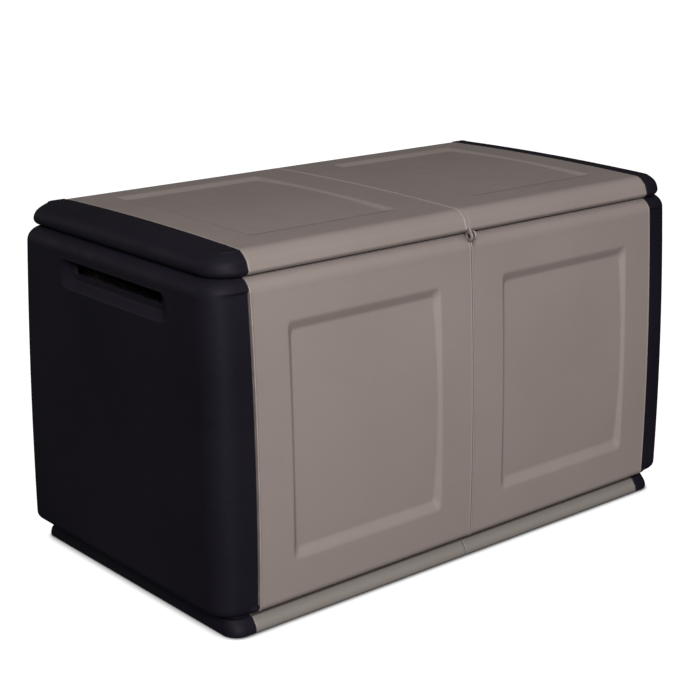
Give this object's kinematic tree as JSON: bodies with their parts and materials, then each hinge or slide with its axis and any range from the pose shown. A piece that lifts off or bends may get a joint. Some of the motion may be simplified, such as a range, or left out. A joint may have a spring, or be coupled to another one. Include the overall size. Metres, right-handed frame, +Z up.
{
  "type": "deck storage box",
  "caption": "Long lidded resin box on a plinth: coloured panels between dark ends, hand grips in the ends, a hinged lid and a padlock hasp at the front.",
  "frame": {"origin": "centre of the footprint, on the plane the box stands on", "axes": "+X along the length to the right-hand end, +Y from the front to the rear, +Z up"},
  "size_m": [0.98, 0.5314, 0.5715],
  "materials": {
    "taupe_resin": "satin moulded resin with a faint stipple",
    "black_resin": "satin moulded resin, near black",
    "zinc_steel": "zinc plated"
  },
  "bodies": {
    "body": {"floor_left": "taupe_resin", "floor_right": "taupe_resin", "base_end_left": "black_resin", "base_end_right": "black_resin", "front_panel_left": "taupe_resin", "front_panel_right": "taupe_resin", "rear_panel_left": "taupe_resin", "rear_panel_right": "taupe_resin", "side_panel_left": "black_resin", "side_panel_right": "black_resin", "front_seam_key": "black_resin", "rear_seam_key": "black_resin", "floor_seam_keys": "black_resin", "corner_screws_front_left": "zinc_steel", "corner_screws_front_right": "zinc_steel", "corner_screws_rear_left": "zinc_steel", "corner_screws_rear_right": "zinc_steel", "hinge_pin_1": "zinc_steel", "hinge_pin_2": "zinc_steel", "hinge_pin_3": "zinc_steel", "hinge_pin_4": "zinc_steel"},
    "lid": {"lid_panel_left": "taupe_resin", "lid_panel_right": "taupe_resin", "lid_end_left": "black_resin", "lid_end_right": "black_resin", "lid_seam_key": "black_resin", "lid_end_screws_left": "zinc_steel", "lid_end_screws_right": "zinc_steel"}
  },
  "joints": [
    {"name": "lid_hinge", "type": "hinge", "parent": "body", "child": "lid", "pos_m": [0, 0.254, 0.529], "axis": [-1, 0, 0], "range_deg": [0, 100]}
  ]
}
